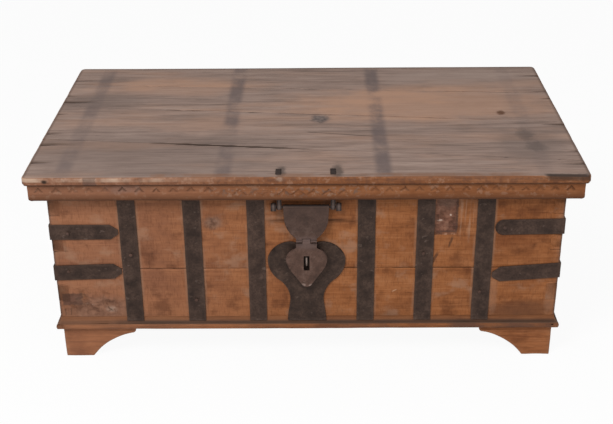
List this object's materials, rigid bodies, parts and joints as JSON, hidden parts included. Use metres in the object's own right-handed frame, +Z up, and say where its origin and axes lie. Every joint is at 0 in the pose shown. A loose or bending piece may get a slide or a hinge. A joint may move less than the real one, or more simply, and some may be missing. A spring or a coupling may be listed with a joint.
{
  "type": "iron-bound plank chest",
  "caption": "Long plank chest with iron straps, overhanging hinged lid with carved frieze, linked hasp with heart plate, coved base rail, bracket feet and drop handles",
  "frame": {"origin": "on the floor under the middle of the chest", "axes": "X along the length to the right, Y from the front to the back, Z up; the hasp faces -Y"},
  "size_m": [1.16, 0.67, 0.458],
  "materials": {
    "case_wood": "old waxed hardwood, warm red-brown, worn edges",
    "base_wood": "old waxed hardwood, darker and dirtier near the floor",
    "lid_wood": "weathered hardwood, greyed on top, open grain and cracks",
    "inside_wood": "bare unpolished hardwood",
    "strap_iron": "black-brown wrought iron, dull, lightly pitted",
    "hasp_iron": "brown wrought iron, rubbed smooth by handling"
  },
  "bodies": {
    "case": {"back_lower_plank": "case_wood", "back_upper_plank": "case_wood", "base_rail_back": "base_wood", "base_rail_front": "base_wood", "base_rail_left": "base_wood", "base_rail_right": "base_wood", "bottom_board_1": "inside_wood", "bottom_board_2": "inside_wood", "bottom_board_3": "inside_wood", "corner_strap_left_lower": "strap_iron", "corner_strap_left_upper": "strap_iron", "corner_strap_right_lower": "strap_iron", "corner_strap_right_upper": "strap_iron", "corner_straps_back": "strap_iron", "foot_back_left": "base_wood", "foot_back_right": "base_wood", "foot_blocks": "base_wood", "foot_front_left": "base_wood", "foot_front_right": "base_wood", "foot_left_back": "base_wood", "foot_left_front": "base_wood", "foot_right_back": "base_wood", "foot_right_front": "base_wood", "front_lower_plank": "case_wood", "front_strap_1": "strap_iron", "front_strap_2": "strap_iron", "front_strap_3": "strap_iron", "front_strap_4": "strap_iron", "front_strap_5": "strap_iron", "front_strap_6": "strap_iron", "front_upper_plank": "case_wood", "handle_eyes": "strap_iron", "hinge_case_leaf_left": "strap_iron", "hinge_case_leaf_right": "strap_iron", "hinge_pins": "strap_iron", "left_lower_plank": "case_wood", "left_upper_plank": "case_wood", "lock_plate": "strap_iron", "lock_staple": "hasp_iron", "right_lower_plank": "case_wood", "right_upper_plank": "case_wood"},
    "lid": {"hasp_eyes": "hasp_iron", "hasp_pin": "hasp_iron", "hinge_lid_leaf_left": "strap_iron", "hinge_lid_leaf_right": "strap_iron", "lid_batten_1": "lid_wood", "lid_batten_2": "lid_wood", "lid_frieze_back": "lid_wood", "lid_frieze_front": "lid_wood", "lid_frieze_left": "lid_wood", "lid_frieze_right": "lid_wood", "lid_plank_1": "lid_wood", "lid_plank_2": "lid_wood", "lid_plank_3": "lid_wood", "lid_plank_4": "lid_wood"},
    "hasp_link": {"hasp_link": "hasp_iron", "hasp_neck_pin": "hasp_iron"},
    "hasp_heart": {"hasp_heart": "hasp_iron"},
    "handle_left": {"drop_handle_left": "strap_iron"},
    "handle_right": {"drop_handle_right": "strap_iron"}
  },
  "joints": [
    {"name": "lid_hinge", "type": "hinge", "parent": "case", "child": "lid", "pos_m": [0, 0.30356, 0.39144], "axis": [-1, 0, 0], "range_deg": [0, 100]},
    {"name": "hasp_pin_hinge", "type": "hinge", "parent": "lid", "child": "hasp_link", "pos_m": [0, -0.308, 0.377], "axis": [-1, 0, 0], "range_deg": [0, 115]},
    {"name": "hasp_neck_hinge", "type": "hinge", "parent": "hasp_link", "child": "hasp_heart", "pos_m": [0, -0.308, 0.299], "axis": [-1, 0, 0], "range_deg": [0, 90]},
    {"name": "handle_left_hinge", "type": "hinge", "parent": "case", "child": "handle_left", "pos_m": [-0.553, 0, 0.32], "axis": [0, 1, 0], "range_deg": [0, 175]},
    {"name": "handle_right_hinge", "type": "hinge", "parent": "case", "child": "handle_right", "pos_m": [0.553, 0, 0.32], "axis": [0, -1, 0], "range_deg": [0, 175]}
  ]
}
